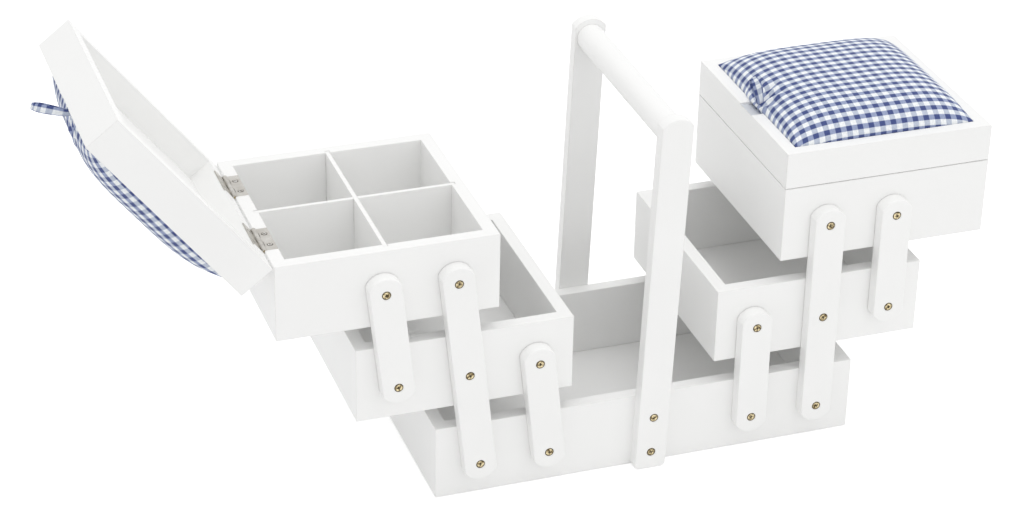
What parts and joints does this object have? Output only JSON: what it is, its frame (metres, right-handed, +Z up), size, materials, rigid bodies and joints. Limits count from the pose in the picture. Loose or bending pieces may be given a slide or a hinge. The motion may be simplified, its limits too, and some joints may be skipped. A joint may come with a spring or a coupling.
{
  "type": "sewing box",
  "caption": "White wooden sewing box whose trays fold out sideways on pivoting arms, with divided top trays under padded gingham lids and a carrying handle.",
  "frame": {"origin": "on the underside of the base, midway between its ends and faces", "axes": "+X along the box, +Y from front to back, +Z up"},
  "size_m": [0.6484, 0.1756, 0.32],
  "materials": {
    "painted_wood": "satin white paint",
    "painted_sheet": "satin white paint",
    "screw_metal": "yellow-plated, cross recess",
    "hinge_metal": "nickel-plated",
    "gingham": "woven cotton check, white and blue"
  },
  "bodies": {
    "base": {"base_walls": "painted_wood", "base_floor": "painted_sheet", "handle_front_post": "painted_wood", "handle_rear_post": "painted_wood", "handle_bar": "painted_wood", "handle_screws": "screw_metal", "base_pivot_screws": "screw_metal"},
    "right_long_arms": {"right_long_arm_front": "painted_wood", "right_long_arm_rear": "painted_wood"},
    "right_lower_arms": {"right_lower_arm_front": "painted_wood", "right_lower_arm_rear": "painted_wood"},
    "right_upper_arms": {"right_upper_arm_front": "painted_wood", "right_upper_arm_rear": "painted_wood"},
    "right_middle_tray": {"right_middle_walls": "painted_wood", "right_middle_floor": "painted_sheet", "right_middle_screws": "screw_metal"},
    "right_top_tray": {"right_top_walls": "painted_wood", "right_top_floor": "painted_sheet", "right_long_divider": "painted_sheet", "right_cross_divider": "painted_sheet", "right_top_screws": "screw_metal", "right_first_tray_leaf": "hinge_metal", "right_second_tray_leaf": "hinge_metal", "right_hinge_pins": "hinge_metal", "right_hinge_tray_screws": "hinge_metal"},
    "right_lid": {"right_lid_frame": "painted_wood", "right_lid_panel": "painted_sheet", "right_cushion": "gingham", "right_pull_loop": "gingham", "right_first_lid_leaf": "hinge_metal", "right_second_lid_leaf": "hinge_metal", "right_hinge_lid_screws": "hinge_metal"},
    "left_long_arms": {"left_long_arm_front": "painted_wood", "left_long_arm_rear": "painted_wood"},
    "left_lower_arms": {"left_lower_arm_front": "painted_wood", "left_lower_arm_rear": "painted_wood"},
    "left_upper_arms": {"left_upper_arm_front": "painted_wood", "left_upper_arm_rear": "painted_wood"},
    "left_middle_tray": {"left_middle_walls": "painted_wood", "left_middle_floor": "painted_sheet", "left_middle_screws": "screw_metal"},
    "left_top_tray": {"left_top_walls": "painted_wood", "left_top_floor": "painted_sheet", "left_long_divider": "painted_sheet", "left_cross_divider": "painted_sheet", "left_top_screws": "screw_metal", "left_first_tray_leaf": "hinge_metal", "left_second_tray_leaf": "hinge_metal", "left_hinge_pins": "hinge_metal", "left_hinge_tray_screws": "hinge_metal"},
    "left_lid": {"left_lid_frame": "painted_wood", "left_lid_panel": "painted_sheet", "left_cushion": "gingham", "left_pull_loop": "gingham", "left_first_lid_leaf": "hinge_metal", "left_second_lid_leaf": "hinge_metal", "left_hinge_lid_screws": "hinge_metal"}
  },
  "joints": [
    {"name": "right_swing", "type": "hinge", "parent": "base", "child": "right_long_arms", "pos_m": [0.1255, 0, 0.02775], "axis": [0, 1, 0], "range_deg": [-39.8, 39.8]},
    {"name": "right_middle_level", "type": "hinge", "parent": "right_long_arms", "child": "right_middle_tray", "pos_m": [0.1255, 0, 0.10039], "axis": [0, 1, 0], "range_deg": [-39.8, 39.8]},
    {"name": "right_top_level", "type": "hinge", "parent": "right_long_arms", "child": "right_top_tray", "pos_m": [0.1255, 0, 0.17302], "axis": [0, 1, 0], "range_deg": [-39.8, 39.8]},
    {"name": "right_lower_swing", "type": "hinge", "parent": "base", "child": "right_lower_arms", "pos_m": [0.0755, 0, 0.02775], "axis": [0, 1, 0], "range_deg": [-39.8, 39.8]},
    {"name": "right_upper_swing", "type": "hinge", "parent": "right_middle_tray", "child": "right_upper_arms", "pos_m": [0.1755, 0, 0.10039], "axis": [0, 1, 0], "range_deg": [-39.8, 39.8]},
    {"name": "right_lid_hinge", "type": "hinge", "parent": "right_top_tray", "child": "right_lid", "pos_m": [0.248, 0, 0.20017], "axis": [0, 1, 0], "range_deg": [0, 128]},
    {"name": "left_swing", "type": "hinge", "parent": "base", "child": "left_long_arms", "pos_m": [-0.1255, 0, 0.02775], "axis": [0, -1, 0], "range_deg": [-46.3, 33.3]},
    {"name": "left_middle_level", "type": "hinge", "parent": "left_long_arms", "child": "left_middle_tray", "pos_m": [-0.13372, 0, 0.09992], "axis": [0, -1, 0], "range_deg": [-33.3, 46.3]},
    {"name": "left_top_level", "type": "hinge", "parent": "left_long_arms", "child": "left_top_tray", "pos_m": [-0.14194, 0, 0.17209], "axis": [0, -1, 0], "range_deg": [-33.3, 46.3]},
    {"name": "left_lower_swing", "type": "hinge", "parent": "base", "child": "left_lower_arms", "pos_m": [-0.0755, 0, 0.02775], "axis": [0, -1, 0], "range_deg": [-46.3, 33.3]},
    {"name": "left_upper_swing", "type": "hinge", "parent": "left_middle_tray", "child": "left_upper_arms", "pos_m": [-0.18372, 0, 0.09992], "axis": [0, -1, 0], "range_deg": [-46.3, 33.3]},
    {"name": "left_lid_hinge", "type": "hinge", "parent": "left_top_tray", "child": "left_lid", "pos_m": [-0.26444, 0, 0.19924], "axis": [0, -1, 0], "range_deg": [-128, 0]}
  ],
  "couplings": [
    {"joint": "right_middle_level", "follows": "right_swing", "ratio": -1},
    {"joint": "right_top_level", "follows": "right_swing", "ratio": -1},
    {"joint": "right_lower_swing", "follows": "right_swing", "ratio": 1},
    {"joint": "right_upper_swing", "follows": "right_swing", "ratio": 1},
    {"joint": "left_middle_level", "follows": "left_swing", "ratio": -1},
    {"joint": "left_top_level", "follows": "left_swing", "ratio": -1},
    {"joint": "left_lower_swing", "follows": "left_swing", "ratio": 1},
    {"joint": "left_upper_swing", "follows": "left_swing", "ratio": 1}
  ]
}
